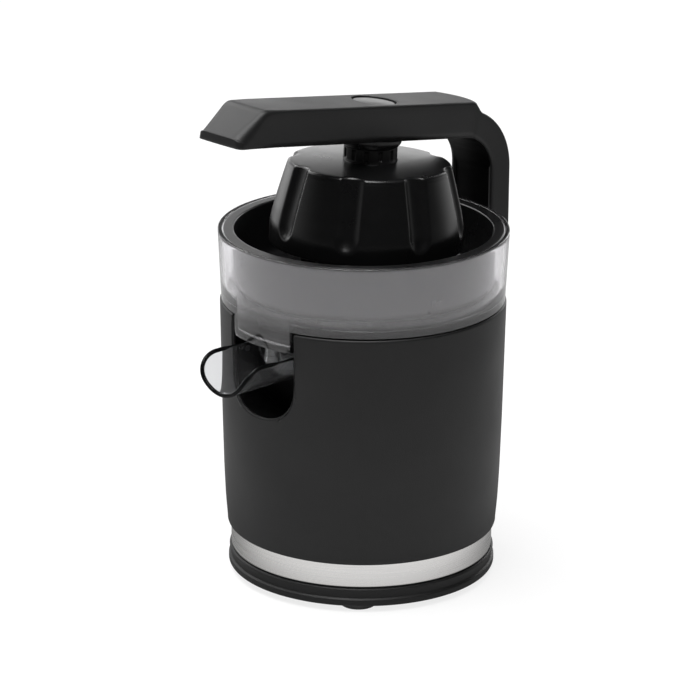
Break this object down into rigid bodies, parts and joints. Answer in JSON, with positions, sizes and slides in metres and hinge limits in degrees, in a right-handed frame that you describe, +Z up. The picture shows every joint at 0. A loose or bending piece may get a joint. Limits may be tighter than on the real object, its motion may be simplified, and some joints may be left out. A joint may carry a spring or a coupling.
{
  "type": "citrus press juicer",
  "caption": "Free-standing electric citrus press: round body with a tilting pouring spout, strainer basket and turning cone, and a hinged arm that lowers a fluted press dome",
  "frame": {"origin": "On the table under the middle of the bounding box", "axes": "+Z up, -Y is the front where the spout and the arm nose point, +Y is the hinge side; the drive axis is vertical at x 0, y 0.0044 m"},
  "size_m": [0.16, 0.2036, 0.2815],
  "materials": {
    "black_plastic": "moulded black plastic with a low gloss",
    "dome_plastic": "high-gloss black plastic",
    "basket_plastic": "black food-grade plastic",
    "clear_plastic": "clear moulded plastic (SAN)",
    "steel_trim": "brushed stainless steel sheet",
    "satin_disc": "satin button top on a steel stem",
    "rubber": "soft rubber",
    "zinc_screw": "zinc-plated steel",
    "gear_plastic": "natural acetal",
    "inner_plastic": "grey glass-filled plastic",
    "motor_steel": "laminated motor steel",
    "copper": "enamelled copper wire",
    "brass": "sintered bronze",
    "frame_steel": "pressed steel"
  },
  "bodies": {
    "base": {"feet": "rubber", "base_plate": "black_plastic", "base_screws": "zinc_screw", "base_plinth": "black_plastic", "steel_band": "steel_trim", "body_shell": "black_plastic", "spout_recess": "black_plastic", "top_deck": "black_plastic", "hinge_bracket": "black_plastic", "bracket_screws": "zinc_screw", "chassis_posts": "inner_plastic", "gear_plate": "inner_plastic", "gear_lid": "inner_plastic", "motor_stator": "motor_steel", "motor_coils": "copper", "motor_bridges": "frame_steel", "motor_dampers": "rubber", "idler_axle": "zinc_screw", "return_spring": "zinc_screw", "start_switch": "inner_plastic", "spindle_bush": "brass", "juice_bowl": "clear_plastic", "filter_basket": "basket_plastic", "hinge_pin": "frame_steel", "cord_gland": "black_plastic"},
    "thrust": {"thrust_cup": "gear_plastic"},
    "cone": {"reamer": "basket_plastic", "drive_spindle": "frame_steel", "output_gear": "gear_plastic"},
    "idler": {"idler_gear": "gear_plastic"},
    "rotor": {"motor_rotor": "motor_steel", "motor_pinion": "brass", "cooling_fan": "inner_plastic"},
    "spout": {"spout": "clear_plastic"},
    "arm": {"arm_shell": "black_plastic", "arm_top_cover": "black_plastic", "arm_inner_cover": "black_plastic", "arm_screws": "zinc_screw", "arm_frame": "frame_steel", "latch_collar": "black_plastic", "button_spring": "zinc_screw", "press_dome": "dome_plastic", "dome_hub": "dome_plastic", "dome_screws": "zinc_screw"},
    "button": {"release_button": "satin_disc"}
  },
  "joints": [
    {"name": "arm_hinge", "type": "hinge", "parent": "base", "child": "arm", "pos_m": [0, 0.09194, 0.167], "axis": [-1, 0, 0], "range_deg": [0, 80]},
    {"name": "release_press", "type": "slide", "parent": "arm", "child": "button", "axis": [0, -0.1444, -0.9895], "range_m": [0, 0.0024], "stiffness_N_per_m": 900, "springref_m": -0.002, "deforming": ["button_spring"]},
    {"name": "spout_tilt", "type": "hinge", "parent": "base", "child": "spout", "pos_m": [0, -0.06396, 0.1378], "axis": [-1, 0, 0], "range_deg": [0, 24]},
    {"name": "press_start", "type": "slide", "parent": "base", "child": "thrust", "axis": [0, 0, -1], "range_m": [0, 0.002], "stiffness_N_per_m": 1500, "springref_m": -0.003, "deforming": ["return_spring"]},
    {"name": "cone_spin", "type": "hinge", "parent": "thrust", "child": "cone", "pos_m": [0, 0.00444, 0.17], "axis": [0, 0, 1], "continuous": true},
    {"name": "idler_spin", "type": "hinge", "parent": "base", "child": "idler", "pos_m": [-0.02919, 0.02551, 0.125], "axis": [0, 0, 1], "continuous": true},
    {"name": "motor_spin", "type": "hinge", "parent": "base", "child": "rotor", "pos_m": [0, 0.03244, 0.078], "axis": [0, 0, 1], "continuous": true}
  ],
  "couplings": [
    {"joint": "idler_spin", "follows": "motor_spin", "ratio": -0.25},
    {"joint": "cone_spin", "follows": "motor_spin", "ratio": 0.05}
  ]
}
